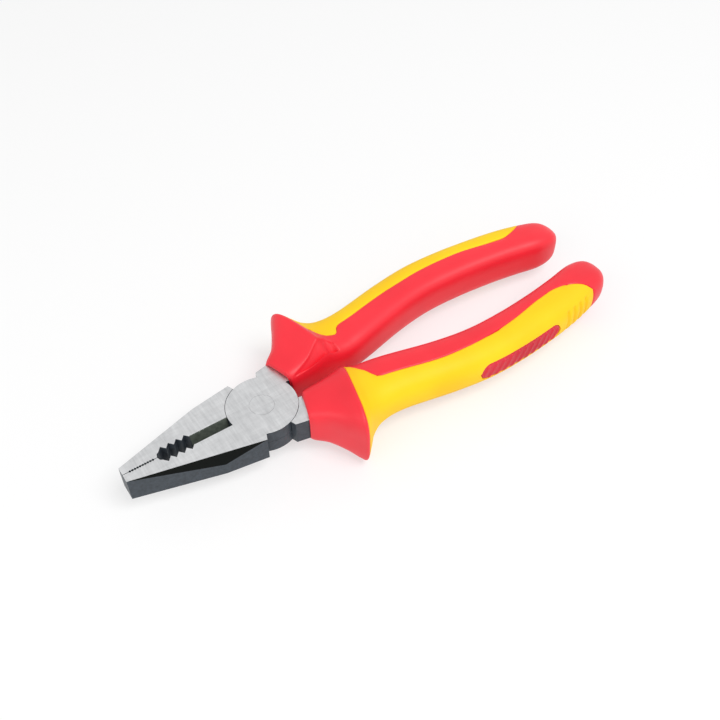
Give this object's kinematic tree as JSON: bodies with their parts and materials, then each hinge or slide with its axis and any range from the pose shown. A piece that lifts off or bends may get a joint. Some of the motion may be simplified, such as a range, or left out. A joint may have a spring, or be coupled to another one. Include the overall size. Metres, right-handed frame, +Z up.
{
  "type": "lineman pliers",
  "caption": "Insulated combination pliers with flat gripping jaws, a pipe grip, a wire cutter and moulded handles with soft overlays, on a riveted lap joint.",
  "frame": {"origin": "on the joint rivet's axis, at the underside of the steel head", "axes": "+X towards the jaw tips, +Z up along the rivet, +Y to the side of the front half's jaw"},
  "size_m": [0.18, 0.0596, 0.024],
  "materials": {
    "steel": "faces ground and brushed, sides dark oxide",
    "rivet_steel": "ground flush with the head",
    "grip_red": "satin moulded, dipped insulation",
    "overlay_yellow": "soft matte moulded",
    "badge_red": "satin moulded"
  },
  "bodies": {
    "rear_side": {"rear_half": "steel", "joint_rivet": "rivet_steel", "rear_grip_core": "grip_red", "rear_grip_overlay": "overlay_yellow", "rear_badge_inlay": "badge_red"},
    "front_side": {"front_half": "steel", "front_grip_core": "grip_red", "front_grip_overlay": "overlay_yellow", "front_badge_inlay": "badge_red"}
  },
  "joints": [
    {"name": "jaw_hinge", "type": "hinge", "parent": "rear_side", "child": "front_side", "pos_m": [0, 0, 0.0046], "axis": [0, 0, 1], "range_deg": [0, 40]}
  ]
}
